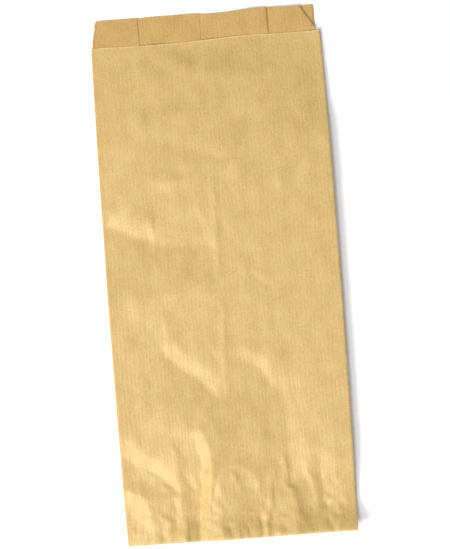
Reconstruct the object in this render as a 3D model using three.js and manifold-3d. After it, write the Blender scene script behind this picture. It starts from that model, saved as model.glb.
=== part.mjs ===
// A brown paper lunch bag lying on its back panel: one sheet folded into a gusseted tube,
// lapped along a seam on the back, with its foot turned under and glued.
// Millimetres, +Z up. X runs across the bag and Y runs up it, from the foot to the mouth.

import * as THREE from "three";
import { LoftGeometry } from "three/addons/geometries/LoftGeometry.js";
import { mergeVertices } from "three/addons/utils/BufferGeometryUtils.js";
import Module from "manifold-3d";

const wasm = await Module();
wasm.setup();

// Driving dimensions: the sheet and its folds
const BAG_WIDTH = 140;
const BAG_LENGTH = 322;
const LIP_LENGTH = 16;
const LIP_INSET = 2;
const GUSSET_DEPTH = 30;
const PAPER = 0.1;
const FOLD_PITCH = 0.3;
const SEAM_EDGE = -3;
const SEAM_LAP = 12;
const FLAP_LENGTH = 13;

// Driving dimensions: how far the front panel swells over the pressed layers
const BODY_SWELL = 7;
const MOUTH_SWELL = 5;
const SWELL_POWER = 2.5;
const FOOT_TAPER = 85;
const FLAP_RAMP = 30;

// Driving dimensions: the cut edges at the mouth
const TOOTH_PITCH = 3;
const TOOTH_DEPTH = 0.5;
const CORNER_RADIUS = 2.5;
const DOG_EAR_WIDTH = 9;
const DOG_EAR_HEIGHT = 13;

// Working values: the glue lines sink by this much, and cutters reach past the paper
const GLUE_SINK = 0.02;
const PLUG_LENGTH = 2;
const REACH = 12;
const FOLD_STEPS = 4;
const ARCH_STEPS = 14;
const BODY_ROWS = 11;

// Heights of the pressed layers over the back panel's middle surface
const bend = FOLD_PITCH / 2;
const gussetBack = FOLD_PITCH;
const gussetFront = 2 * FOLD_PITCH;
const frontLow = 3 * FOLD_PITCH;
const stack = frontLow + PAPER;

// Stations along the bag
const foot = -BAG_LENGTH / 2;
const mouth = BAG_LENGTH / 2;
const frontEdge = mouth - LIP_LENGTH;
const flapEnd = foot + FLAP_LENGTH;
const tubeStart = foot + stack;
const { smoothstep, lerp } = THREE.MathUtils;

function backHeight(y) {
  const overFlap = 1 - smoothstep(y, flapEnd, flapEnd + FLAP_RAMP);
  return PAPER / 2 + (stack - GLUE_SINK) * overFlap;
}

function halfWidth(y) {
  const inset = LIP_INSET * smoothstep(y, frontEdge, frontEdge + 2 * LIP_INSET);
  return (BAG_WIDTH - PAPER) / 2 - inset;
}

function frontHeight(x, y) {
  const opening = smoothstep(y, tubeStart + PLUG_LENGTH, flapEnd + FOOT_TAPER);
  const swell = lerp(BODY_SWELL, MOUTH_SWELL, smoothstep(y, 0, frontEdge)) * opening;
  const across = 1 - Math.abs(x / halfWidth(y)) ** SWELL_POWER;
  return frontLow + swell * Math.max(across, 0);
}

// One bend of the paper: from (x, z) it turns upward by one pitch, bulging to +X or -X
function addFold(points, x, z, bulge) {
  for (let i = 0; i <= FOLD_STEPS; i += 1) {
    const angle = (Math.PI * i) / FOLD_STEPS;
    const across = x + bulge * bend * (Math.sin(angle) - 1);
    points.push({ x: across, z: z + bend * (1 - Math.cos(angle)), lap: 0 });
  }
}

// The folds of one side from the back panel up to the front panel
function sideFolds(side, y) {
  const points = [];
  const edge = side * halfWidth(y);
  const inner = side * (halfWidth(foot) - GUSSET_DEPTH);
  addFold(points, edge, 0, side);
  addFold(points, inner, gussetBack, -side);
  addFold(points, edge, gussetFront, side);
  return points;
}

// The middle surface of the paper around the bag at station y: the seam, the left
// gusset, the front panel, the right gusset and back to the seam
function midline(y) {
  const seamEnd = SEAM_EDGE - SEAM_LAP;
  const points = [
    { x: SEAM_EDGE, z: 0, lap: 0 },
    { x: SEAM_EDGE - PAPER, z: 0, lap: 1 },
    { x: seamEnd + PAPER, z: 0, lap: 1 },
    { x: seamEnd, z: 0, lap: 0 },
    ...sideFolds(-1, y),
  ];
  const reach = halfWidth(y) - bend;
  for (let i = 1; i < ARCH_STEPS; i += 1) {
    const x = lerp(-reach, reach, i / ARCH_STEPS);
    points.push({ x, z: frontHeight(x, y), lap: 0 });
  }
  points.push(...sideFolds(1, y).reverse());
  return points;
}

// A closed ring at station y on the outer or the inner face of the paper
function paperRing(y, face) {
  const points = midline(y);
  const count = points.length;
  return points.map((point, i) => {
    const before = points[(i + count - 1) % count];
    const after = points[(i + 1) % count];
    const outward = new THREE.Vector2(before.z - after.z, after.x - before.x).normalize();
    const offset = face === "outer" ? PAPER / 2 : -PAPER / 2 - point.lap * PAPER;
    const z = backHeight(y) + point.z + outward.y * offset;
    return new THREE.Vector3(point.x + outward.x * offset, y, z);
  });
}

function tubeStations() {
  const stations = [tubeStart, tubeStart + PLUG_LENGTH, flapEnd];
  const bodyStart = flapEnd + FLAP_RAMP / 4;
  for (let i = 0; i <= BODY_ROWS; i += 1) {
    stations.push(lerp(bodyStart, frontEdge, (i / BODY_ROWS) ** 1.2));
  }
  stations.push(frontEdge + LIP_INSET, frontEdge + 2 * LIP_INSET, mouth);
  return stations;
}

function toSolid(geometry) {
  const bare = new THREE.BufferGeometry();
  bare.setAttribute("position", geometry.attributes.position);
  bare.setIndex(geometry.index);
  const merged = mergeVertices(bare, 1e-4);
  const vertProperties = new Float32Array(merged.attributes.position.array);
  const triVerts = new Uint32Array(merged.index.array);
  return new wasm.Manifold(new wasm.Mesh({ numProp: 3, vertProperties, triVerts }));
}

function toGeometry(solid) {
  const mesh = solid.getMesh();
  const geometry = new THREE.BufferGeometry();
  geometry.setAttribute("position", new THREE.BufferAttribute(mesh.vertProperties, 3));
  geometry.setIndex(new THREE.BufferAttribute(mesh.triVerts, 1));
  geometry.computeVertexNormals();
  return geometry;
}

// The paper wall: up the outer face, over the cut edge at the mouth, down the inner face
// and back across the paper at the foot
function tubeWall() {
  const stations = tubeStations();
  const rings = stations.map((y) => paperRing(y, "outer"));
  rings.push(...stations.reverse().map((y) => paperRing(y, "inner")));
  rings.push(rings[0]);
  return toSolid(new LoftGeometry(rings));
}

// The foot: the four layers turned under in one bend, with the flap glued to the back
function footFold() {
  const plugEnd = tubeStart + PLUG_LENGTH;
  const profile = new THREE.Shape();
  profile.moveTo(flapEnd, 0);
  profile.absarc(foot + stack, stack, stack, -Math.PI / 2, Math.PI / 2, true);
  profile.lineTo(plugEnd, 2 * stack);
  profile.lineTo(plugEnd, stack);
  profile.lineTo(flapEnd, stack);
  const width = BAG_WIDTH - PAPER;
  const options = { depth: width, bevelEnabled: false, curveSegments: 8 };
  const fold = new THREE.ExtrudeGeometry(profile, options);
  const axes = [new THREE.Vector3(0, 1, 0), new THREE.Vector3(0, 0, 1), new THREE.Vector3(1, 0, 0)];
  fold.applyMatrix4(new THREE.Matrix4().makeBasis(...axes));
  fold.translate(-width / 2, 0, 0);
  return toSolid(fold);
}

// An upright prism of the given outline in X and Y, between two heights
function prism(outline, low, high) {
  const options = { depth: high - low, bevelEnabled: false, curveSegments: 6 };
  const solid = new THREE.ExtrudeGeometry(outline, options);
  solid.translate(0, 0, low);
  return toSolid(solid);
}

// A toothed knife line from -reach to +reach, its tips at y and its roots below them
function toothLine(shape, reach, y) {
  const teeth = Math.round((2 * reach) / TOOTH_PITCH);
  for (let i = 0; i <= 2 * teeth; i += 1) {
    const x = lerp(-reach, reach, i / (2 * teeth));
    shape.lineTo(x, i % 2 === 0 ? y - TOOTH_DEPTH : y);
  }
}

// Everything above the gussets past the front panel's cut edge
function frontCut() {
  const outline = new THREE.Shape();
  const reach = BAG_WIDTH / 2 + REACH;
  outline.moveTo(-reach, mouth + REACH);
  toothLine(outline, reach, frontEdge);
  outline.lineTo(reach, mouth + REACH);
  return prism(outline, PAPER / 2 + (gussetFront + frontLow) / 2, BODY_SWELL + REACH);
}

// Everything past the lip's cut edge, with its two rounded corners
function lipCut() {
  const outline = new THREE.Shape();
  const side = BAG_WIDTH / 2 - LIP_INSET;
  const reach = side + REACH;
  const bendLine = mouth - TOOTH_DEPTH - CORNER_RADIUS;
  outline.moveTo(-reach, mouth + REACH);
  outline.lineTo(-reach, bendLine);
  outline.lineTo(-side, bendLine);
  outline.absarc(-side + CORNER_RADIUS, bendLine, CORNER_RADIUS, Math.PI, Math.PI / 2, true);
  toothLine(outline, side - CORNER_RADIUS, mouth);
  outline.absarc(side - CORNER_RADIUS, bendLine, CORNER_RADIUS, Math.PI / 2, 0, true);
  outline.lineTo(reach, bendLine);
  outline.lineTo(reach, mouth + REACH);
  return prism(outline, -REACH, BODY_SWELL + REACH);
}

// The right corner of the upper gusset layer: its fold line runs from the lip's edge down
// to the bag's side, and the corner lies folded under the layer
function dogEar() {
  const side = BAG_WIDTH / 2 - LIP_INSET;
  const top = new THREE.Vector2(side - DOG_EAR_WIDTH, mouth);
  const low = new THREE.Vector2(side, mouth - DOG_EAR_HEIGHT);
  const corner = new THREE.Vector2(side, mouth - TOOTH_DEPTH);
  const along = low.clone().sub(top).normalize();
  const onLine = top.clone().addScaledVector(along, corner.clone().sub(top).dot(along));
  const tucked = onLine.clone().multiplyScalar(2).sub(corner);
  const past = low.clone().addScaledVector(along, REACH);
  const before = top.clone().addScaledVector(along, -REACH);
  const farCorner = new THREE.Vector2(side + 2 * REACH, mouth + 2 * REACH);
  const layerFoot = gussetFront;
  const cut = prism(new THREE.Shape([before, past, farCorner]), layerFoot - bend + PAPER / 2, REACH);
  const tuck = prism(new THREE.Shape([top, tucked, low]), layerFoot - PAPER, layerFoot + GLUE_SINK);
  return { cut, tuck };
}

function paperBag() {
  const corner = dogEar();
  const wall = tubeWall().subtract(frontCut());
  const tucked = wall.subtract(corner.cut).add(corner.tuck).subtract(lipCut());
  return toGeometry(tucked.add(footFold()));
}

const kraft = new THREE.MeshStandardMaterial({ color: 0xdebc7c, roughness: 0.55, metalness: 0 });
const bag = new THREE.Mesh(paperBag(), kraft);
bag.name = "paper_bag";

const part = new THREE.Group();
part.add(bag);
export default part;
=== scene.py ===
# A brown paper lunch bag: one sheet of ribbed kraft paper, folded flat with side gussets,
# lapped along a seam on its back and turned under at its foot. It lies on its back panel.
# Sizes are millimetres, in the frame's axes, until the sheet is written in metres.

import math

import bmesh
import bpy
import numpy as np
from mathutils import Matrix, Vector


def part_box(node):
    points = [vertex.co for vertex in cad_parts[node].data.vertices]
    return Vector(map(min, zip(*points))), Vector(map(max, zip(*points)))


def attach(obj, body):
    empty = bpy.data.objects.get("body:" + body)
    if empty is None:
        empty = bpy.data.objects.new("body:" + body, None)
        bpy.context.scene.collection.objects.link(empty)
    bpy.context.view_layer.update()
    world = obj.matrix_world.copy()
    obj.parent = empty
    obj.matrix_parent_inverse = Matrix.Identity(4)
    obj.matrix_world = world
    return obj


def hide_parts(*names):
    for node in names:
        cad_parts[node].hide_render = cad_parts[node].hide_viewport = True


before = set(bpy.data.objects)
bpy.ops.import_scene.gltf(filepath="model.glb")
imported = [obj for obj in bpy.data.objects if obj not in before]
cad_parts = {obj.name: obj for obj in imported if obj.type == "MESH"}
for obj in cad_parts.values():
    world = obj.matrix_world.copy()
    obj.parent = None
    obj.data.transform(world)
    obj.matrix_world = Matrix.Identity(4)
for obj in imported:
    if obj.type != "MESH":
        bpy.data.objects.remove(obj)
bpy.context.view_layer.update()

MM = 0.001
NODE = "paper_bag"
LEFT, RIGHT = -1, 1

# The bag's box, from the frame
box_low, box_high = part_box(NODE)
BAG_WIDTH = (box_high.x - box_low.x) / MM
BAG_LENGTH = (box_high.y - box_low.y) / MM
FOOT = box_low.y / MM
HALF = BAG_WIDTH / 2

# The sheet and its folds
LEFT_INNER = -41.0
RIGHT_INNER = 39.4
LIP_LENGTH = 16.0
FRONT_LENGTH = BAG_LENGTH - LIP_LENGTH
LIP_INSET_LOW = {LEFT: 0.6, RIGHT: 2.7}
LIP_INSET_TOP = {LEFT: 2.7, RIGHT: 2.8}
LIP_CORNER = {LEFT: 2.4, RIGHT: 0.8}
SEAM_EDGE = -3.0
SEAM_LAP = 12.0
FLAP_LENGTH = 13.0
FLAP_RAMP = 26.0
PAPER = 0.12
LAYER = 0.2
FOLD_ARC = math.pi * LAYER / 2
FOLD_STEPS = 3
BESIDE_FOLD = 0.5

# The foot's bend: its axis lies over the flap's four layers
FOOT_GAP = 0.2
FOOT_AXIS = PAPER / 2 + FOOT_GAP + 3 * LAYER
FOOT_BEND = FOOT_GAP + 3 * LAYER
FOOT_ARC = math.pi * FOOT_BEND
FOOT_STEPS = 7

# Panels in their order across the sheet. Each has stops: a place across the bag, and how many
# columns of the mesh lead to it from the stop before.
PANELS = (
    ("back_left", ((SEAM_EDGE, 0), (-39, 6), (-42, 3), (-66, 3), (-HALF, 5))),
    ("gusset_back_left", ((-HALF, 0), (-66, 5), (LEFT_INNER - BESIDE_FOLD, 3), (LEFT_INNER, 1))),
    ("gusset_front_left", ((LEFT_INNER, 0), (LEFT_INNER - BESIDE_FOLD, 1), (-66, 4), (-HALF, 5))),
    ("front", ((-HALF, 0), (-68, 4), (68, 116), (HALF, 4))),
    ("gusset_front_right", ((HALF, 0), (56, 11), (RIGHT_INNER + BESIDE_FOLD, 4), (RIGHT_INNER, 1))),
    ("gusset_back_right", ((RIGHT_INNER, 0), (RIGHT_INNER + BESIDE_FOLD, 1), (50, 2), (68, 6), (HALF, 4))),
    ("back_right", ((HALF, 0), (66, 4), (40, 4), (36, 6), (SEAM_EDGE - SEAM_LAP, 8))),
)
PANEL_NAMES = [name for name, _ in PANELS]
LAYER_RANKS = {"back": 0, "gusset_back": 1, "gusset_front": 2, "front": 3}

# Rows up the bag: a height over its foot, and how many rows lead to it
FLAP_ROWS = 5
ROW_STOPS = ((70, 62), (235, 100), (304, 22), (FRONT_LENGTH, 3), (314, 3), (318, 2), (BAG_LENGTH, 4))

# How far the bag stands open, how firmly its paper stops on the layers below, and how much
# closer the layers are pressed at the mouth
BODY_SWELL = 0.6
MOUTH_SWELL = 0.05
FOOT_AIR = 0.6
FIRMNESS = 12
PRESS_FROM = 280
GUSSET_PRESS = 0.3
SEAM_PRESS = 0.2
FRONT_PRESS = 0.35
FRONT_PRESS_BETWEEN = 1.3
FOOT_CURL = 2.5
FOOT_RISE = 2.2
SIDE_OPEN = {LEFT: 1.3, RIGHT: 1.9}
CORNER_OPEN = 0.9
SIDE_BOW = {LEFT: 1.3, RIGHT: 1.3}
EDGE_ROLL = {LEFT: 0.25, RIGHT: 0.22}
EDGE_ROLL_WIDTH = 0.8
MOUTH_CURL = 0.05
LIP_BULGE = 0.8
LIP_EDGE_LIFT = 0.45

# The folded corner at the right of the lip, in both layers of the gusset
CORNER_TOP = (60.6, BAG_LENGTH)
CORNER_LOW = (HALF, FRONT_LENGTH + 2.5)
CORNER_RADIUS = 0.13
CORNER_ARC = math.pi * CORNER_RADIUS
CORNER_SCORES = 4
CORNER_PANELS = ("gusset_front_right", "gusset_back_right")
CORNER_LIFT = 0.14
GUSSET_LIFT = 0.12

# The knife that cut the mouth
TOOTH_PITCH = 3.0
TOOTH_DEPTH = 0.25


def ramp(value, start, end):
    """0 before start, 1 after end, and smooth between them."""
    t = np.clip((value - start) / (end - start), 0.0, 1.0)
    return t * t * (3.0 - 2.0 * t)


def hump(value, low, high, soft):
    """1 between low and high, fading to 0 over soft on both sides."""
    return ramp(value, low - soft, low) * (1.0 - ramp(value, high, high + soft))


def by_side(sizes, x):
    """The left side's size, turning into the right side's across the bag."""
    return sizes[LEFT] + (sizes[RIGHT] - sizes[LEFT]) * ramp(x, -HALF, HALF)


# Creases of the front panel: the line that each follows, as (x, height over the foot), how high
# it stands (a valley is negative), how wide its flanks are left and right of the line, how round
# its crest is and, where that isn't the usual length, over what length its ends fade
CREASE_FADE = 14.0
MOST_FADE = 0.4
CREASES = (
    # The left side, from the gusset's edge to the seam
    (((-72, 197.8), (-64, 194.4), (-56, 191), (-39.5, 183.6)), -1.2, 13, 30, 0.4, 5),
    (((-100, 222), (-70, 208), (-56, 204), (-36, 199)), 0.45, 30, 13, 1.8, 16),
    (((-52, 183), (-38, 181), (-22, 179.5), (-8, 180), (0, 183)), -1.3, 40, 28, 0.8),
    (((-41.5, 206), (-41, 188), (-40.6, 164)), 0.32, 2.2, 5, 0.2, 6),
    (((-90, 142), (-66, 148), (-45, 150), (-25, 156), (-2, 153)), 1.0, 30, 26, 4),
    (((-76, 185), (-74, 125), (-74, 38)), 1.5, 30, 10, 3, 36),
    # The seam's edge under the panel
    (((-2.6, 228), (-2.8, 190), (-2.6, 156)), 0.34, 3.5, 4.5, 0.3),
    (((-2.4, 150), (-2.2, 120), (-1.8, 84)), 0.26, 3, 3.5, 0.3),
    # The two bands across the middle
    (((-46, 119), (-38, 113), (-26, 103.5), (-14, 92), (-6, 84)), -1.2, 12, 36, 0.4),
    (((-44, 129), (-33, 122), (-18, 108), (-6, 97)), 0.4, 20, 8, 1.0),
    (((-37, 144), (-36.6, 126), (-37, 108)), 0.35, 4, 2.5, 0.3),
    (((-50, 92), (-34, 76), (-24, 64), (-16, 48), (-14, 24)), 1.5, 34, 60, 1.5, 18),
    (((0, 111), (10, 106), (20, 98), (31, 86)), -0.9, 14, 26, 0.8),
    (((4, 121), (18, 111), (32, 98)), 0.5, 20, 9, 1.5),
    (((29, 102), (31, 80), (31.5, 62), (33, 43), (34.5, 20)), -1.2, 24, 36, 0.8),
    (((-14, 90), (-12, 72), (-8, 48)), 0.9, 40, 26, 2),
    (((-30, 69), (-8, 66), (8, 66), (24, 69)), 0.75, 24, 50, 2, 14),
    (((13, 167), (22, 158), (32, 150)), -0.4, 5, 12, 0.5),
    (((76, 270), (76, 150), (74, 20)), 1.5, 10, 38, 3, 30),
    # The lower left corner
    (((-80, 60), (-63.7, 51.7), (-53.7, 44.6), (-44.5, 38.3), (-38.7, 33), (-35.3, 30), (-34, 28.5)),
     -0.6, 11, 17, 0.25, 7),
    (((-58, 47.5), (-53.7, 44.6), (-44.5, 38.3), (-38.7, 33), (-35.3, 29)), -0.3, 3, 3.5, 0.2, 6),
    (((-90, 84), (-70, 70), (-56, 58), (-47, 48.5), (-42, 43.3), (-38.7, 38.3), (-36, 32)),
     0.4, 32, 16, 1.2, 8),
    (((-90, 41), (-68.5, 33.6), (-57, 28.7), (-54, 20), (-53.5, 3)), 1.6, 24, 15, 0.4),
    (((-40, 66), (-38, 52), (-37.4, 42), (-36.4, 32), (-35.5, 18)), 0.95, 8, 36, 0.4, 11),
    # The pleats that rise from the foot
    (((-25, 76), (-20, 66), (-17, 56), (-16.6, 46), (-16.2, 36), (-17.4, 28), (-18.7, 21),
      (-20.8, 12), (-22, 4)), 0.9, 20, 6, 0.3, 9),
    (((-25, 68), (-22.8, 55), (-21.6, 46), (-22.8, 36), (-24.5, 28), (-24, 21), (-22, 12)),
     -0.65, 6, 8, 0.3, 9),
    (((-36, 34), (-36.2, 28), (-36.6, 20), (-36.8, 8)), 0.4, 8, 4, 0.3, 8),
    (((-17.8, 13), (-16.4, 25), (-14.2, 31.7), (-11, 36.5)), -0.5, 2.6, 4, 0.3, 7),
    (((-12, 42), (-10, 28), (-9.5, 2)), 0.5, 10, 6, 0.4, 14),
    (((-5, 44), (3, 43.5), (8.5, 38), (10, 30)), 0.5, 9, 7, 0.5, 7),
    (((19, 42), (19.3, 28), (18.6, 12)), 0.45, 4, 7, 0.4, 8),
    (((21, 44), (23.3, 32), (24, 20)), 0.3, 2.4, 2.6, 0.25, 7),
    (((-2, 54), (-3, 30), (-4, -10)), 0.9, 20, 44, 0.8, 16),
    (((28.5, 54), (30.2, 44), (32, 33), (34.5, 20), (36, 6)), 0.7, 4, 7, 0.3, 9),
    (((41.5, 48), (43.5, 34), (45.3, 22), (46.5, 8)), 0.5, 5, 4, 0.3, 9),
    (((47, 52), (49.3, 36), (50.5, 24), (52.5, 8)), -0.55, 10, 4, 0.3, 9),
    (((50, 80), (57, 60), (60, 40), (61, 20), (60, 2)), 0.3, 12, 10, 2),
    # Short pleats over the flap
    (((-58, 14), (-40, 11.7), (-20, 12.6), (0, 11.6), (24, 13), (46, 12), (66, 13)), -0.16, 5, 7, 1.0),
    (((-49.5, 17), (-48, 8), (-47.5, -12)), -0.4, 3.5, 6, 0.3, 7),
    (((-43, 17), (-44.6, 8), (-45.5, -12)), 0.5, 6, 3.5, 0.3, 7),
    (((-33.5, 17), (-35.3, 8), (-36, -12)), 1.2, 6.5, 9, 0.3, 8),
    (((-26, 22), (-25, 9), (-24.5, -12)), -1.1, 4, 6, 0.3),
    (((-14, 16), (-15.5, 12), (-18.7, 2.5), (-19.5, -12)), -0.45, 4, 3, 0.3, 7),
    (((-9.5, 18), (-11.5, 8), (-12, -12)), 0.8, 14, 4, 0.3, 8),
    (((12, 20), (12.9, 8), (13, -12)), -0.9, 2.6, 6, 0.3),
    (((17.5, 17), (16.7, 8), (16.2, -12)), 0.5, 2.4, 2.8, 0.3, 7),
    (((22, 18), (19.4, 8), (18.8, -12)), -0.25, 4, 2.4, 0.3, 7),
    (((29.5, 20), (33, 8), (34, -12)), 1.1, 26, 16, 0.4, 8),
    (((45, 16), (42, 6), (41, -12)), 0.3, 10, 9, 0.6, 8),
    # The calm upper part
    (((-36, 257), (-18, 261), (0, 266)), 0.6, 9, 16, 0.8),
    (((0, 250), (14, 254), (34, 256)), -0.9, 16, 14, 1),
    (((-44, 222), (-20, 221), (0, 226)), 0.6, 12, 14, 1),
    (((-36, 244), (-10, 238), (12, 230)), -0.5, 9, 12, 0.8),
    (((-1, 238), (13, 227), (22, 204)), 0.5, 16, 16, 2),
    (((-44, 308), (-20, 296), (-2, 283)), 1.0, 12, 12, 1),
    (((-41, 300), (-41.5, 250), (-41, 215)), 0.15, 4, 8, 0.4),
    (((-46, 316), (-47, 285), (-44, 258)), -1.1, 20, 30, 2),
    (((-2, 310), (-2, 292), (-1, 274)), 0.5, 32, 6, 0.8),
    (((-66, 281), (0, 283), (66, 279)), 1.2, 30, 90, 8, 20),
)

# Short creases are strewn up to this far from the panel's middle line, at about this angle, and
# bent by up to this much
STREWN_REACH = 66
STREWN_ANGLE = 100
STREWN_BEND = 1.5


def strewn(count, seed, low, reach, gather, turn, arms, heights, flanks, crest):
    """Short creases over the front panel, thicker towards the foot and mostly along the bag."""
    rng = np.random.default_rng(seed)
    made = []
    for _ in range(count):
        middle = np.array((rng.uniform(-STREWN_REACH, STREWN_REACH), low + reach * rng.random() ** gather))
        angle = math.radians(rng.normal(STREWN_ANGLE, turn))
        arm = rng.uniform(*arms) * np.array((math.cos(angle), math.sin(angle)))
        bend = rng.uniform(-STREWN_BEND, STREWN_BEND) * np.array((-arm[1], arm[0])) / np.linalg.norm(arm)
        height = rng.choice((-1, 1)) * rng.uniform(*heights)
        left, right = rng.uniform(*flanks, 2)
        made.append(((middle + arm, middle + bend, middle - arm), height, left, right, crest))
    return made


# Faint creases from handling all over the panel, and the crumpled paper over the foot
HANDLING = strewn(count=110, seed=11, low=8, reach=240, gather=1.4, turn=32, arms=(5, 13),
                  heights=(0.05, 0.18), flanks=(2, 6), crest=0.7)
CRUMPLES = strewn(count=110, seed=4, low=0, reach=40, gather=2.0, turn=36, arms=(3, 8),
                  heights=(0.14, 0.4), flanks=(1.8, 4.5), crest=0.35)
ALL_CREASES = list(CREASES) + HANDLING + CRUMPLES
LINE_STEPS = 4


def rounded(points):
    """A smooth line through given points."""
    p = np.array(points, float)
    p = np.vstack([2 * p[0] - p[1], p, 2 * p[-1] - p[-2]])
    t = np.linspace(0, 1, LINE_STEPS, endpoint=False)[:, None]
    line = []
    for a, b, c, d in zip(p, p[1:], p[2:], p[3:]):
        square, cube = 2 * a - 5 * b + 4 * c - d, 3 * b - a - 3 * c + d
        line.append(b + 0.5 * ((c - a) * t + square * t**2 + cube * t**3))
    return np.vstack(line + [p[-2:-1]])


def crease(x, up, points, height, left, right, crest, fade=CREASE_FADE):
    """The height that one crease adds at each place: flanks that level out from a rounded crest."""
    line = rounded(points)
    lengths = np.linalg.norm(np.diff(line, axis=0), axis=1)
    travelled = np.concatenate([[0], np.cumsum(lengths)])
    nearest = np.full(x.shape, np.inf)
    side = np.zeros(x.shape)
    along = np.zeros(x.shape)
    for start, end, length, before in zip(line, line[1:], lengths, travelled):
        ux, uy = (end - start) / length
        dx, dy = x - start[0], up - start[1]
        t = np.clip(dx * ux + dy * uy, 0, length)
        gap = np.hypot(dx - t * ux, dy - t * uy)
        closer = gap < nearest
        nearest = np.where(closer, gap, nearest)
        side = np.where(closer, ux * dy - uy * dx, side)
        along = np.where(closer, before + t, along)
    share = along / travelled[-1]
    width = np.where(side > 0, left, right)
    away = (np.sqrt(nearest**2 + crest**2) - crest) / width
    flank = np.clip(1 - away, 0, 1) ** 2
    fade = min(MOST_FADE, fade / travelled[-1])
    return height * flank * ramp(share, 0, fade) * (1 - ramp(share, 1 - fade, 1))


# The paper's cockle: waves in all directions, each with the same small slope
COCKLE_WAVES = 40
COCKLE_SLOPE = 0.006
COCKLE_SHORTEST = 8
COCKLE_SPREAD = 4
COCKLE_SEED = 5

# The creases waver: none follows its line quite straight
WAVER_LENGTHS = (7, 9, 11, 13, 17, 21, 27, 34, 42)
WAVER_SLOPE = 0.09
WAVER_SEED_ACROSS = 2
WAVER_SEED_ALONG = 3

# How much calmer the paper is at its cut edge, and from where
MOUTH_CALM = 0.8
CALM_FROM = 285


def wave(x, up, length, slope, rng):
    """A wave of this length and slope, in a random direction."""
    angle, phase = rng.uniform(0, 2 * np.pi, 2)
    turns = 2 * np.pi / length
    return slope / turns * np.sin(turns * (x * np.cos(angle) + up * np.sin(angle)) + phase)


def cockle(x, up):
    """The unevenness that all paper has."""
    rng = np.random.default_rng(COCKLE_SEED)
    total = np.zeros(x.shape)
    for _ in range(COCKLE_WAVES):
        length = COCKLE_SHORTEST * COCKLE_SPREAD ** rng.random()
        total += wave(x, up, length, COCKLE_SLOPE, rng)
    return total


def waver(x, up, seed):
    """How far the creases stray from their lines."""
    rng = np.random.default_rng(seed)
    total = np.zeros(x.shape)
    for length in WAVER_LENGTHS:
        total += wave(x, up, length, WAVER_SLOPE, rng)
    return total


def wrinkles(x, up):
    """The cockle and all creases, calmer towards the mouth."""
    total = cockle(x, up)
    wavered_x = x + waver(x, up, WAVER_SEED_ACROSS)
    wavered_up = up + waver(x, up, WAVER_SEED_ALONG)
    for entry in ALL_CREASES:
        total = total + crease(wavered_x, wavered_up, *entry)
    return total * (1 - MOUTH_CALM * ramp(up, CALM_FROM, FRONT_LENGTH))


# Heights of the layers over the floor, at x across the bag and a length up from its foot


def back_height(x, up):
    """Flat on the floor, over the flap at the foot, and bulged between the gussets at the lip."""
    over_flap = 1 - ramp(up, FLAP_LENGTH, FLAP_LENGTH + FLAP_RAMP)
    bulge = ramp(x, -5, 36) * (1 - ramp(x, RIGHT_INNER - 1.3, RIGHT_INNER - 0.6))
    raised = ramp(x, 50, 64) * (1 - ramp(x, HALF - 1, HALF))
    at_lip = ramp(up, FRONT_LENGTH - 0.5, FRONT_LENGTH + 3)
    lifted = (LIP_BULGE * bulge + LIP_EDGE_LIFT * raised) * at_lip
    return PAPER / 2 + (FOOT_AXIS + FOOT_GAP - PAPER / 2) * over_flap + lifted


def back_left_height(x, up):
    """The seam's inner lap lies on the other half's edge."""
    pressed = LAYER * (1 - SEAM_PRESS * ramp(up, PRESS_FROM, FRONT_LENGTH))
    return back_height(x, up) + pressed * ramp(x, SEAM_EDGE - SEAM_LAP - 3, SEAM_EDGE - SEAM_LAP)


def gusset_layer(x, up):
    """The gussets' layers, pressed flatter at the lip's left."""
    return LAYER * (1 - GUSSET_PRESS * ramp(-x, 0, 30) * ramp(up, PRESS_FROM, FRONT_LENGTH))


def gusset_back_height(x, up):
    """On the back panel, and a little over it at the lip's right, where its corner turns under."""
    raised = GUSSET_LIFT * ramp(x, 46, 60) * ramp(up, FRONT_LENGTH + 0.5, FRONT_LENGTH + 5)
    return back_height(x, up) + gusset_layer(x, up) + raised


def front_height(x, up):
    """Swelled over the body, open at its sides, creased, and closed at the foot and the mouth."""
    between = hump(x, LEFT_INNER + 5, RIGHT_INNER - 5, 6)
    gussets = back_height(x, up) + 2 * gusset_layer(x, up)
    press = FRONT_PRESS + FRONT_PRESS_BETWEEN * between
    pressed = gussets + LAYER * (1 - press * ramp(up, 270, FRONT_LENGTH))
    across = 1 - np.abs(x / HALF) ** 4
    towards_mouth = ramp(up, 230, FRONT_LENGTH + 2)
    swell = BODY_SWELL * ramp(up, 9, 60) * (1 - towards_mouth) + MOUTH_SWELL * towards_mouth
    corner = CORNER_OPEN * ramp(x, RIGHT_INNER + 4, HALF + 6) * towards_mouth
    opened = by_side(SIDE_OPEN, x) * (1 - towards_mouth) * ramp(up, 3, 60) + corner
    air = FOOT_AIR * (1 + 0.7 * across) * (1 - towards_mouth)
    roll = by_side(EDGE_ROLL, x) * ramp(np.abs(x), HALF - EDGE_ROLL_WIDTH, HALF) * ramp(up, 2, 26)
    above = swell * across + opened + air - roll + wrinkles(x, up)
    clear = np.logaddexp(0, FIRMNESS * above) / FIRMNESS
    return pressed + clear + MOUTH_CURL * ramp(up, FRONT_LENGTH - 1, FRONT_LENGTH)


def gusset_share(x):
    """0 at the gusset's inner fold, 1 at the bag's side."""
    inner = np.where(x < 0, LEFT_INNER, RIGHT_INNER)
    return np.clip((x - inner) / (np.sign(x) * HALF - inner), 0, 1)


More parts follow.
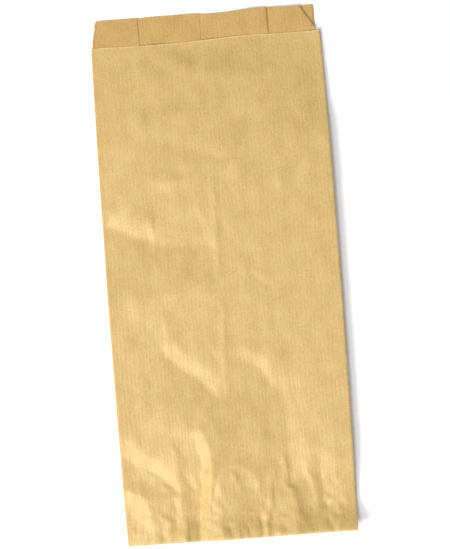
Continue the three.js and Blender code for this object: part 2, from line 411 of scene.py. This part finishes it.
def gusset_front_height(x, up):
    """From the closed inner fold out to the front panel's side."""
    low = gusset_back_height(x, up) + gusset_layer(x, up)
    body = np.minimum(up, FRONT_LENGTH)
    edge = front_height(np.sign(x) * HALF, body) - LAYER
    under = front_height(x, body) - LAYER
    height = low + np.maximum(edge - low, 0) * gusset_share(x) ** 1.5
    corner = CORNER_LIFT * ramp(x, 44, 60) * ramp(up, FRONT_LENGTH + 0.5, FRONT_LENGTH + 5)
    return np.maximum(np.minimum(height, under), low) + corner


LAYER_HEIGHTS = {
    "back_left": back_left_height,
    "gusset_back_left": gusset_back_height,
    "gusset_front_left": gusset_front_height,
    "front": front_height,
    "gusset_front_right": gusset_front_height,
    "gusset_back_right": gusset_back_height,
    "back_right": back_height,
}


# The flat sheet


def panel_ends(stops):
    return stops[0][0], stops[-1][0]


def panel_width(stops):
    start, end = panel_ends(stops)
    return abs(end - start)


def panel_starts():
    """Where each panel starts across the flat sheet, with a fold's arc between panels."""
    starts = [0.0]
    for _, stops in PANELS[:-1]:
        starts.append(starts[-1] + panel_width(stops) + FOLD_ARC)
    return starts


STARTS = panel_starts()


def spread(stops):
    """Places from stop to stop, with each stop's count of even steps."""
    places = [stops[0][0]]
    for place, count in stops[1:]:
        places.extend(np.linspace(places[-1], place, count + 1)[1:])
    return np.array(places)


def sheet_columns():
    columns = []
    for begin, (_, stops) in zip(STARTS, PANELS):
        columns.extend(begin + np.abs(spread(stops) - stops[0][0]))
        columns.extend(columns[-1] + FOLD_ARC * np.arange(1, FOLD_STEPS) / FOLD_STEPS)
    return np.array(columns[: 1 - FOLD_STEPS])


def flat_row(up):
    """The row of the flat sheet that lies this far up the folded bag."""
    return up - FOOT_BEND + FOOT_ARC


def sheet_rows():
    flap = np.linspace(-FLAP_LENGTH, 0, FLAP_ROWS, endpoint=False)
    bend = np.linspace(0, FOOT_ARC, FOOT_STEPS, endpoint=False)
    body = flat_row(spread(((FOOT_BEND, 0),) + ROW_STOPS))
    return np.concatenate([flap, bend, body])


def flat_grid():
    """The sheet laid flat, as a mesh of these columns and rows."""
    columns, rows = sheet_columns(), sheet_rows()
    bm = bmesh.new()
    bmesh.ops.create_grid(bm, x_segments=len(columns) - 1, y_segments=len(rows) - 1, size=0.5)
    for vert in bm.verts:
        column = round((vert.co.x + 0.5) * (len(columns) - 1))
        row = round((vert.co.y + 0.5) * (len(rows) - 1))
        vert.co = (columns[column], rows[row], 0)
    return bm


def cut_mouth(bm):
    """The front panel is cut short, with slits along its side folds and the right gusset's back."""
    front = PANEL_NAMES.index("front")
    left = STARTS[front] - FOLD_ARC
    right = STARTS[front + 1]
    slit_end = STARTS[PANEL_NAMES.index("back_right")]
    cut_row = flat_row(FRONT_LENGTH)

    def is_cut(face):
        middle = face.calc_center_median()
        in_slit = slit_end - FOLD_ARC < middle.x < slit_end
        return middle.y > cut_row and (left < middle.x < right or in_slit)

    bmesh.ops.delete(bm, geom=[f for f in bm.faces if is_cut(f)], context="FACES")


def score_corner(bm, name):
    """Edges along the folded corner's bend in a gusset panel, so that it folds in a straight line."""
    index = PANEL_NAMES.index(name)
    start, end = panel_ends(PANELS[index][1])
    begin, width = STARTS[index], abs(end - start)
    top = np.array((begin + abs(CORNER_TOP[0] - start), flat_row(CORNER_TOP[1]), 0))
    low = np.array((begin + abs(CORNER_LOW[0] - start), flat_row(CORNER_LOW[1]), 0))
    along = (low - top) / np.linalg.norm(low - top)
    out = np.array((along[1], -along[0], 0))
    out *= np.sign(out[1])
    lip_row = flat_row(FRONT_LENGTH)

    def near(face):
        middle = face.calc_center_median()
        return begin < middle.x < begin + width and middle.y > lip_row

    for step in range(CORNER_SCORES):
        faces = [f for f in bm.faces if near(f)]
        geom = list({g for f in faces for g in (*f.verts, *f.edges, f)})
        place = top + out * CORNER_ARC * step / (CORNER_SCORES - 1)
        bmesh.ops.bisect_plane(bm, geom=geom, dist=1e-4, plane_co=place, plane_no=out)


def notch_lip(bm):
    """More points along the lip's cut edge, for the knife's teeth."""
    top = flat_row(BAG_LENGTH)
    edges = [e for e in bm.edges if all(abs(v.co.y - top) < 1e-3 for v in e.verts)]
    for edge in edges:
        cuts = round(2 * edge.calc_length() / TOOTH_PITCH) - 1
        if cuts > 0:
            bmesh.ops.subdivide_edges(bm, edges=[edge], cuts=cuts)


# The folded sheet


def side_shift(x, up, front_share):
    """How the sides bow out at the bag's middle and are set in at the lip, under the front."""
    bow = by_side(SIDE_BOW, x) * np.sin(np.pi * np.clip(up / FRONT_LENGTH, 0, 1)) ** 0.6
    low, top = by_side(LIP_INSET_LOW, x), by_side(LIP_INSET_TOP, x)
    inset = low * ramp(up, FRONT_LENGTH - 6, FRONT_LENGTH - 0.5)
    inset = inset + (top - low) * ramp(up, FRONT_LENGTH, FRONT_LENGTH + 14)
    weight = np.sign(x) * ramp(np.abs(x), RIGHT_INNER, HALF)
    return weight * (bow - inset * (1 - front_share))


def cut_edge_shift(x, up, front_share):
    """The cut edges at the mouth: uneven, toothed, and round at the lip's corners."""
    front_edge = 1.4 * ramp(x, -12, 24) - 0.4 * ramp(x, 28, 45) - 0.35 * hump(x, -45, -22, 15) - 0.6
    lip_edge = 0.8 * ramp(x, 18, 32) - 0.6 * ramp(x, 40, 60)
    lip_edge = lip_edge + 0.3 * hump(x, -32, -8, 10) - 0.3 * hump(x, 2, 14, 6)
    corner = np.where(x < 0, LIP_CORNER[LEFT], LIP_CORNER[RIGHT])
    past = np.clip(np.abs(x) - (HALF - corner), 0, corner)
    lip_edge = lip_edge - (corner - np.sqrt(corner**2 - past**2))
    tooth = TOOTH_DEPTH * (np.abs((x / TOOTH_PITCH) % 1 - 0.5) * 2 - 0.5)
    on_front = front_share * (front_edge * ramp(up, FRONT_LENGTH - 20, FRONT_LENGTH))
    on_lip = (1 - front_share) * lip_edge * ramp(up, BAG_LENGTH - 8, BAG_LENGTH)
    at_front_cut = (np.abs(up - FRONT_LENGTH) < 1e-2) & (front_share > 0.9)
    at_lip_cut = np.abs(up - BAG_LENGTH) < 1e-2
    return on_front + on_lip + np.where(at_front_cut | at_lip_cut, tooth, 0)


def tuck_corner(x, up):
    """The right gusset's free corners turn under along their score: their place and drop."""
    top, low = np.array(CORNER_TOP), np.array(CORNER_LOW)
    along = (low - top) / np.linalg.norm(low - top)
    out = np.array((-along[1], along[0]))
    past = (x - top[0]) * out[0] + (up - top[1]) * out[1]
    turn = np.clip(past / CORNER_ARC, 0, 1) * np.pi
    reach = CORNER_RADIUS * np.sin(turn) - np.maximum(past - CORNER_ARC, 0)
    move = np.where(past > 0, reach - past, 0)
    return x + move * out[0], up + move * out[1], CORNER_RADIUS * (1 - np.cos(turn))


def foot_curl(x, up):
    """How the foot's edge curls up off the floor, least at its left and most at its right."""
    return FOOT_CURL * ramp(x, -88, -34) * (1 + 0.8 * ramp(x, 32, 54)) * (1 - ramp(up, -2, FLAP_LENGTH + 5))


def foot_rise(x, up):
    """How the middle of the foot stands over its sides."""
    return FOOT_RISE * hump(x, -14, 31, 14) * (1 - ramp(up, -4, 52))


def rank_of(name):
    """Which layer a panel is, from the back to the front."""
    return LAYER_RANKS[name.replace("_left", "").replace("_right", "")]


def fold_sheet(flat_x, flat_y):
    """Where each point of the flat sheet lies on the folded bag."""
    up = np.where(flat_y > FOOT_ARC, flat_y - FOOT_ARC + FOOT_BEND, FOOT_BEND)
    x, z, foot_z, rank = (np.zeros(flat_x.shape) for _ in range(4))
    y = up.copy()
    for index, (name, stops) in enumerate(PANELS):
        start, end = panel_ends(stops)
        begin, width = STARTS[index], panel_width(stops)
        height = LAYER_HEIGHTS[name]
        on_panel = (flat_x >= begin - 1e-4) & (flat_x <= begin + width + 1e-4)
        across = start + (end - start) * (flat_x[on_panel] - begin) / width
        place = up[on_panel]
        drop = 0
        if name in CORNER_PANELS:
            across, place, drop = tuck_corner(across, place)
        x[on_panel], y[on_panel] = across, place
        z[on_panel] = height(across, place) - drop
        foot_z[on_panel] = height(across, np.full(across.shape, FOOT_BEND))
        rank[on_panel] = rank_of(name)
        if index + 1 == len(PANELS):
            continue
        after = PANELS[index + 1][0]
        on_fold = (flat_x > begin + width + 1e-4) & (flat_x < STARTS[index + 1] - 1e-4)
        angle = ((flat_x[on_fold] - begin - width) / FOLD_ARC - 0.5) * np.pi
        edge = np.full(angle.shape, end)
        x[on_fold] = end + np.sign(end - start) * LAYER / 2 * np.cos(angle)
        share = (1 + np.sin(angle)) / 2
        for values, places in ((z, up[on_fold]), (foot_z, np.full(edge.shape, FOOT_BEND))):
            first, second = height(edge, places), LAYER_HEIGHTS[after](edge, places)
            values[on_fold] = first + (second - first) * share
        rank[on_fold] = rank_of(name) + (rank_of(after) - rank_of(name)) * share
    # The foot: each layer turns round the fold's axis, and the flap lies under the back
    turn = np.clip(flat_y / FOOT_ARC, 0, 1) * np.pi - np.pi / 2
    body_radius = foot_z - FOOT_AXIS
    flap_radius = FOOT_GAP + LAYER * rank
    radius = flap_radius + (body_radius - flap_radius) * (np.sin(turn) + 1) / 2
    at_foot = flat_y <= FOOT_ARC
    y = np.where(at_foot, FOOT_BEND - flap_radius * np.cos(turn) - np.minimum(flat_y, 0), y)
    z = np.where(at_foot, FOOT_AXIS + radius * np.sin(turn), z)
    front_share = np.clip(rank - 2, 0, 1)
    z = z + foot_curl(x, y)
    z = z + foot_rise(x, y)
    shift_up = np.where(at_foot, 0, cut_edge_shift(x, y, front_share))
    return x + side_shift(x, y, front_share), y + shift_up + FOOT, z


def fold_mesh(bm):
    """Marks each corner with its place on the flat sheet, then folds the sheet."""
    flat = bm.loops.layers.uv.new("sheet")
    for face in bm.faces:
        face.smooth = True
        for loop in face.loops:
            loop[flat].uv = (loop.vert.co.x * MM, loop.vert.co.y * MM)
    for edge in bm.edges:
        edge.smooth = not edge.is_boundary
    verts = list(bm.verts)
    places = np.array([v.co for v in verts])
    folded = np.column_stack(fold_sheet(places[:, 0], places[:, 1])) * MM
    for vert, place in zip(verts, folded):
        vert.co = place


def make_bag():
    bm = flat_grid()
    cut_mouth(bm)
    for name in CORNER_PANELS:
        score_corner(bm, name)
    notch_lip(bm)
    fold_mesh(bm)
    mesh = bpy.data.meshes.new("kraft_bag")
    bm.to_mesh(mesh)
    bm.free()
    bag = bpy.data.objects.new("kraft_bag", mesh)
    bpy.context.scene.collection.objects.link(bag)
    thickness = bag.modifiers.new("paper", "SOLIDIFY")
    thickness.thickness = PAPER * MM
    thickness.offset = 0
    thickness.material_offset = 1
    thickness.material_offset_rim = 2
    return bag


# Materials


def link(tree, source, target):
    tree.links.new(source, target)


def calculate(tree, operation, first, second=0.0):
    """A Math node on sockets or plain numbers."""
    made = tree.nodes.new("ShaderNodeMath")
    made.operation = operation
    for socket, value in zip(made.inputs, (first, second)):
        if isinstance(value, (int, float)):
            socket.default_value = value
        else:
            link(tree, value, socket)
    return made.outputs["Value"]


def stretched_noise(tree, place, across, along, detail):
    """Noise with grains of these sizes across and along the sheet, in millimetres."""
    mapping = tree.nodes.new("ShaderNodeMapping")
    mapping.inputs["Scale"].default_value = (1 / (across * MM), 1 / (along * MM), 1)
    link(tree, place, mapping.inputs["Vector"])
    noise = tree.nodes.new("ShaderNodeTexNoise")
    noise.noise_dimensions = "2D"
    noise.inputs["Scale"].default_value = 1
    noise.inputs["Detail"].default_value = detail
    link(tree, mapping.outputs["Vector"], noise.inputs["Vector"])
    return noise.outputs["Fac"]


def new_group(name, outputs):
    """A node group that reads a place on the sheet and puts out these values."""
    group = bpy.data.node_groups.new(name, "ShaderNodeTree")
    group.interface.new_socket(name="Place", in_out="INPUT", socket_type="NodeSocketVector")
    for output in outputs:
        group.interface.new_socket(name=output, in_out="OUTPUT", socket_type="NodeSocketFloat")
    entry = group.nodes.new("NodeGroupInput")
    result = group.nodes.new("NodeGroupOutput")
    return group, entry.outputs["Place"], result


RIB_PITCH = 2.44


def rib_group():
    """The ribs pressed into the paper along the bag, straight but never quite even."""
    group, place, result = new_group("paper_ribs", ("Height",))
    apart = group.nodes.new("ShaderNodeSeparateXYZ")
    link(group, place, apart.inputs["Vector"])
    wobble = calculate(group, "MULTIPLY", stretched_noise(group, place, 5, 16, 3), 9.0)
    turns = calculate(group, "MULTIPLY", apart.outputs["X"], 2 * math.pi / (RIB_PITCH * MM))
    ridges = calculate(group, "SINE", calculate(group, "ADD", turns, wobble))
    uneven = calculate(group, "SUBTRACT", stretched_noise(group, place, 2.6, 7, 3), 0.27)
    strength = calculate(group, "MULTIPLY", calculate(group, "MAXIMUM", uneven, 0.0), 2.3)
    height = calculate(group, "ADD", calculate(group, "MULTIPLY", ridges, strength), 0.5)
    link(group, height, result.inputs["Height"])
    return group


def fibre_group():
    """The paper's own texture: streaks of fibre, fine grain, slow clouds, patches of hue and specks."""
    group, place, result = new_group("paper_fibres", ("Streaks", "Grain", "Clouds", "Specks", "Hues"))
    link(group, stretched_noise(group, place, 0.9, 3.6, 3), result.inputs["Streaks"])
    link(group, stretched_noise(group, place, 1.0, 1.3, 2), result.inputs["Grain"])
    link(group, stretched_noise(group, place, 9, 13, 4), result.inputs["Clouds"])
    link(group, stretched_noise(group, place, 7, 7, 2), result.inputs["Hues"])
    spots = stretched_noise(group, place, 0.7, 1.6, 1)
    over = calculate(group, "SUBTRACT", spots, 0.7)
    specks = calculate(group, "MULTIPLY", calculate(group, "MAXIMUM", over, 0.0), 5.0)
    link(group, specks, result.inputs["Specks"])
    return group


def map_range(tree, value, start, end):
    """0 at the start and 1 at the end of a range, and clamped."""
    made = tree.nodes.new("ShaderNodeMapRange")
    made.inputs["From Min"].default_value = start
    made.inputs["From Max"].default_value = end
    link(tree, value, made.inputs["Value"])
    return made.outputs["Result"]


def edge_light_group():
    """Painted highlight along the front panel's cut edge, and painted shade along its left fold."""
    group, place, result = new_group("painted_edge_light", ("EdgeHighlight", "FoldShade"))
    apart = group.nodes.new("ShaderNodeSeparateXYZ")
    link(group, place, apart.inputs["Vector"])
    across, along = apart.outputs["X"], apart.outputs["Y"]
    begin = STARTS[PANEL_NAMES.index("front")]
    edge = flat_row(FRONT_LENGTH)
    # Painted highlight: paler paper in the last millimetre below the front panel's cut edge, patchy along
    # it
    edge_highlight = map_range(group, along, (edge - 1.0) * MM, (edge - 0.5) * MM)
    past_left = calculate(group, "GREATER_THAN", across, begin * MM)
    before_right = calculate(group, "LESS_THAN", across, (begin + BAG_WIDTH) * MM)
    edge_highlight = calculate(group, "MULTIPLY", edge_highlight, past_left)
    edge_highlight = calculate(group, "MULTIPLY", edge_highlight, before_right)
    patchy = map_range(group, stretched_noise(group, place, 6, 6, 3), 0.3, 0.6)
    link(group, calculate(group, "MULTIPLY", edge_highlight, patchy), result.inputs["EdgeHighlight"])
    # Painted shade: darker, more orange paper within about 3.4 mm of the front panel's left fold, full
    # within 1.4 mm, with a ragged edge
    from_fold = calculate(group, "ABSOLUTE", calculate(group, "SUBTRACT", across, begin * MM))
    ragged = calculate(group, "MULTIPLY", stretched_noise(group, place, 3, 9, 2), 1.6 * MM)
    fold_shade = map_range(group, calculate(group, "ADD", from_fold, ragged), 3.4 * MM, 1.4 * MM)
    link(group, fold_shade, result.inputs["FoldShade"])
    return group


# What makes a spot of paper paler or darker, and how much it adds to the place among the tones
# The cut edge's entry paints a highlight along the front panel's cut edge
SHADE_WEIGHTS = {"Streaks": 0.6, "Grain": 1.0, "Clouds": 0.8, "Height": 0.04, "Specks": -0.35, "EdgeHighlight": 0.9}
SHADE_LEVEL = 0.72

# Tints that the tones are multiplied by: patches from warm to cool, and painted shade along the front
# panel's left fold
WARM_TINT = (1.0, 0.968, 0.915, 1)
COOL_TINT = (0.985, 1.0, 1.0, 1)
FOLD_SHADE_TINT = (0.97, 0.86, 0.74, 1)

# The finishes, outside, inside and at the cut edges: tones from dark to pale, gloss, roughness and
# how deep the ribs are
GLAZED_TONES = ((0.612, 0.406, 0.135), (0.721, 0.498, 0.184), (0.797, 0.583, 0.244))
MATTE_TONES = ((0.55, 0.34, 0.103), (0.656, 0.42, 0.146), (0.732, 0.491, 0.194))
CUT_TONES = ((0.58, 0.38, 0.14), (0.70, 0.48, 0.19), (0.78, 0.57, 0.26))
FINISHES = (
    ("glazed_kraft", GLAZED_TONES, 0.7, 0.44, 0.028),
    ("matte_kraft", MATTE_TONES, 0.4, 0.7, 0.03),
    ("cut_kraft", CUT_TONES, 0.3, 0.8, 0.01),
)


def multiply_colours(tree, colour):
    """A Mix node that multiplies this colour by its B."""
    made = tree.nodes.new("ShaderNodeMix")
    made.data_type = "RGBA"
    made.blend_type = "MULTIPLY"
    link(tree, colour, made.inputs["A"])
    return made


def kraft(name, tones, gloss, roughness, rib_depth, groups):
    """Kraft paper in one finish, with the node groups of its ribs, fibres, and the painted highlight and
    shade at its edges.
    """
    material = bpy.data.materials.new(name)
    material.use_nodes = True
    tree = material.node_tree
    shader = tree.nodes["Principled BSDF"]
    shader.inputs["Specular IOR Level"].default_value = gloss
    place = tree.nodes.new("ShaderNodeUVMap")
    place.uv_map = "sheet"
    found = {}
    for group in groups:
        placed = tree.nodes.new("ShaderNodeGroup")
        placed.node_tree = group
        link(tree, place.outputs["UV"], placed.inputs["Place"])
        for output in placed.outputs:
            found[output.name] = output
    shade = None
    for source, weight in SHADE_WEIGHTS.items():
        part = calculate(tree, "MULTIPLY", found[source], weight)
        shade = calculate(tree, "ADD", shade, part) if shade else part
    shade = calculate(tree, "SUBTRACT", shade, SHADE_LEVEL)
    colours = tree.nodes.new("ShaderNodeValToRGB")
    colours.color_ramp.elements.new(0.5)
    for element, tone in zip(colours.color_ramp.elements, tones):
        element.color = (*tone, 1)
    link(tree, shade, colours.inputs["Fac"])
    hues = tree.nodes.new("ShaderNodeValToRGB")
    for element, position, tint in zip(hues.color_ramp.elements, (0.3, 0.7), (WARM_TINT, COOL_TINT)):
        element.position = position
        element.color = tint
    link(tree, found["Hues"], hues.inputs["Fac"])
    tinted = multiply_colours(tree, colours.outputs["Color"])
    tinted.inputs["Factor"].default_value = 1
    link(tree, hues.outputs["Color"], tinted.inputs["B"])
    # Painted shade along the front panel's left fold
    fold_shade = multiply_colours(tree, tinted.outputs["Result"])
    fold_shade.inputs["B"].default_value = FOLD_SHADE_TINT
    link(tree, found["FoldShade"], fold_shade.inputs["Factor"])
    link(tree, fold_shade.outputs["Result"], shader.inputs["Base Color"])
    uneven = calculate(tree, "MULTIPLY", found["Streaks"], 0.2)
    link(tree, calculate(tree, "ADD", uneven, roughness - 0.1), shader.inputs["Roughness"])
    relief = found["Height"]
    for source, weight in (("Streaks", 0.5), ("Grain", 0.25)):
        relief = calculate(tree, "ADD", relief, calculate(tree, "MULTIPLY", found[source], weight))
    bump = tree.nodes.new("ShaderNodeBump")
    bump.inputs["Strength"].default_value = 1
    bump.inputs["Distance"].default_value = rib_depth * MM
    link(tree, relief, bump.inputs["Height"])
    link(tree, bump.outputs["Normal"], shader.inputs["Normal"])
    return material


# The stage: the floor lies a hair under the bag, and its white glow grows from near to far
FLOOR_REACH = 12
FLOOR_DROP = 0.02
GLOW_BEGINS, GLOW_FULL = 0.3, 2.0
GLOW_NEAR, GLOW_ADDED = 0.1, 0.9

# The camera's place in millimetres, its turn in degrees, and how long a strip it sees from 1 metre
CAMERA_PLACE = (0.97, 0.45, 1002)
CAMERA_TURN = -4.31
VIEW_LENGTH = 335.7


def make_floor():
    """A plain pale floor that the camera sees as white, with the bag's shadow on it."""
    bm = bmesh.new()
    bmesh.ops.create_grid(bm, x_segments=1, y_segments=1, size=FLOOR_REACH)
    bmesh.ops.translate(bm, verts=bm.verts, vec=(0, 0, -FLOOR_DROP * MM))
    mesh = bpy.data.meshes.new("floor")
    bm.to_mesh(mesh)
    bm.free()
    floor = bpy.data.objects.new("floor", mesh)
    bpy.context.scene.collection.objects.link(floor)
    material = bpy.data.materials.new("pale_floor")
    material.use_nodes = True
    tree = material.node_tree
    shader = tree.nodes["Principled BSDF"]
    shader.inputs["Base Color"].default_value = (0.95, 0.955, 0.97, 1)
    shader.inputs["Roughness"].default_value = 0.9
    shader.inputs["Specular IOR Level"].default_value = 0.1
    shader.inputs["Emission Color"].default_value = (1, 1, 1, 1)
    path = tree.nodes.new("ShaderNodeLightPath")
    seen = calculate(tree, "MAXIMUM", path.outputs["Is Camera Ray"], path.outputs["Is Glossy Ray"])
    seen = calculate(tree, "MAXIMUM", seen, path.outputs["Is Transmission Ray"])
    place = tree.nodes.new("ShaderNodeTexCoord")
    away = tree.nodes.new("ShaderNodeVectorMath")
    away.operation = "LENGTH"
    link(tree, place.outputs["Object"], away.inputs[0])
    far = map_range(tree, away.outputs["Value"], GLOW_BEGINS, GLOW_FULL)
    white = calculate(tree, "ADD", calculate(tree, "MULTIPLY", far, GLOW_ADDED), GLOW_NEAR)
    link(tree, calculate(tree, "MULTIPLY", seen, white), shader.inputs["Emission Strength"])
    mesh.materials.append(material)


def make_lamp(name, azimuth, elevation, distance, size, energy, mirrored):
    """A square lamp that faces the bag's middle. Angles are degrees, and gloss may mirror it or not."""
    lamp = bpy.data.lights.new(name, "AREA")
    lamp.size = size
    lamp.energy = energy
    holder = bpy.data.objects.new(name, lamp)
    across, height = math.radians(azimuth), math.radians(elevation)
    level = distance * math.cos(height)
    holder.location = (level * math.cos(across), level * math.sin(across), distance * math.sin(height))
    holder.rotation_euler = (math.pi / 2 - height, 0, across + math.pi / 2)
    holder.visible_glossy = mirrored
    bpy.context.scene.collection.objects.link(holder)


def make_lights():
    """An even sky, a low lamp from the lower left and a softer one over it."""
    world = bpy.data.worlds.new("studio")
    bpy.context.scene.world = world
    world.use_nodes = True
    world.node_tree.nodes["Background"].inputs["Color"].default_value = (1, 1, 1, 1)
    world.node_tree.nodes["Background"].inputs["Strength"].default_value = 0.3
    make_lamp("key", azimuth=222, elevation=30, distance=2.6, size=0.7, energy=57, mirrored=False)
    make_lamp("softbox", azimuth=222, elevation=60, distance=2.2, size=0.9, energy=21, mirrored=True)


def make_camera():
    """Straight down on the bag, turned a little, as the picture was taken."""
    camera = bpy.data.cameras.new("camera")
    camera.sensor_width = 36
    camera.lens = camera.sensor_width * 1000 / VIEW_LENGTH
    holder = bpy.data.objects.new("camera", camera)
    holder.location = [place * MM for place in CAMERA_PLACE]
    holder.rotation_euler = (0, 0, math.radians(CAMERA_TURN))
    bpy.context.scene.collection.objects.link(holder)
    bpy.context.scene.camera = holder


make_camera()
bag = make_bag()
paper_groups = (rib_group(), fibre_group(), edge_light_group())
for finish in FINISHES:
    bag.data.materials.append(kraft(*finish, paper_groups))
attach(bag, "root")
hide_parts(NODE)
make_floor()
make_lights()
bpy.context.scene.view_settings.view_transform = "Standard"
